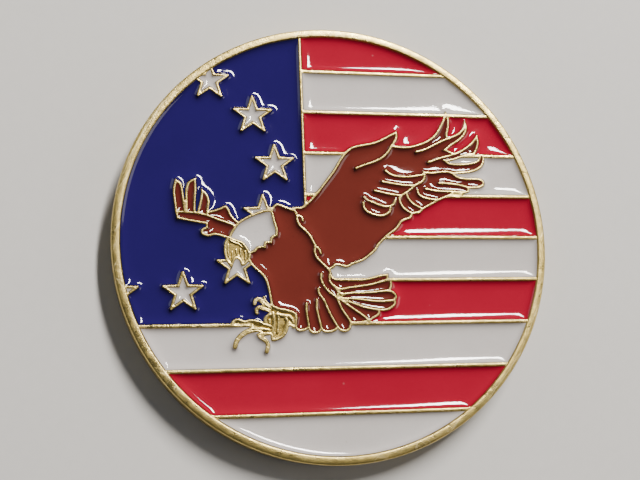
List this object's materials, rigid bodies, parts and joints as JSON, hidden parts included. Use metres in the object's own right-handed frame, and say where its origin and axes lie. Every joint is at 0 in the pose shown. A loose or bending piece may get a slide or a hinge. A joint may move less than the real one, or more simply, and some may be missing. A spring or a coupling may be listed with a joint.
{
  "type": "challenge coin",
  "caption": "Round struck metal coin with a raised-line eagle over a striped flag, soft enamel in the recesses, plain edge and a wreath on the back.",
  "frame": {"origin": "centre of the back, in the plane of the back rim", "axes": "+Z out of the coin's front face; +Y towards the top of the design, with the stars at the upper left; +X to the right along the stripes"},
  "size_m": [0.0444, 0.0444, 0.003],
  "materials": {
    "gold_plated_brass": "pale gold plating over struck brass, satin, finely scratched",
    "enamel_blue": "dark blue soft enamel, cured and glossy",
    "enamel_red": "red soft enamel, cured and glossy",
    "enamel_white": "warm off-white soft enamel, cured and glossy",
    "enamel_brown": "red-brown soft enamel, cured and glossy"
  },
  "bodies": {
    "root": {"coin_body": "gold_plated_brass", "enamel_canton_blue": "enamel_blue", "enamel_stripe_01_red": "enamel_red", "enamel_stripe_02_white": "enamel_white", "enamel_stripe_03_red_left": "enamel_red", "enamel_stripe_03_red_right": "enamel_red", "enamel_stripe_04_white_left": "enamel_white", "enamel_stripe_04_white_right": "enamel_white", "enamel_stripe_05_red_left": "enamel_red", "enamel_stripe_05_red_right": "enamel_red", "enamel_stripe_06_white": "enamel_white", "enamel_stripe_07_red": "enamel_red", "enamel_stripe_08_white": "enamel_white", "enamel_stripe_09_red": "enamel_red", "enamel_stripe_10_white": "enamel_white", "enamel_star_1": "enamel_white", "enamel_star_2": "enamel_white", "enamel_star_3": "enamel_white", "enamel_star_4": "enamel_white", "enamel_star_5": "enamel_white", "enamel_star_6": "enamel_white", "enamel_star_7": "enamel_white", "enamel_wing": "enamel_brown", "enamel_wing_trailing": "enamel_brown", "enamel_body": "enamel_brown", "enamel_head": "enamel_white", "enamel_left_wing_shoulder": "enamel_brown", "enamel_left_wing_feather_1": "enamel_brown", "enamel_left_wing_feather_2": "enamel_brown", "enamel_left_wing_feather_3": "enamel_brown", "enamel_left_wing_arm": "enamel_brown", "enamel_tail_feather_1": "enamel_brown", "enamel_tail_feather_2": "enamel_brown", "enamel_tail_feather_3": "enamel_brown", "enamel_tail_feather_4": "enamel_brown", "enamel_tail_feather_5": "enamel_brown", "enamel_tail_feather_6": "enamel_brown"}
  },
  "joints": []
}
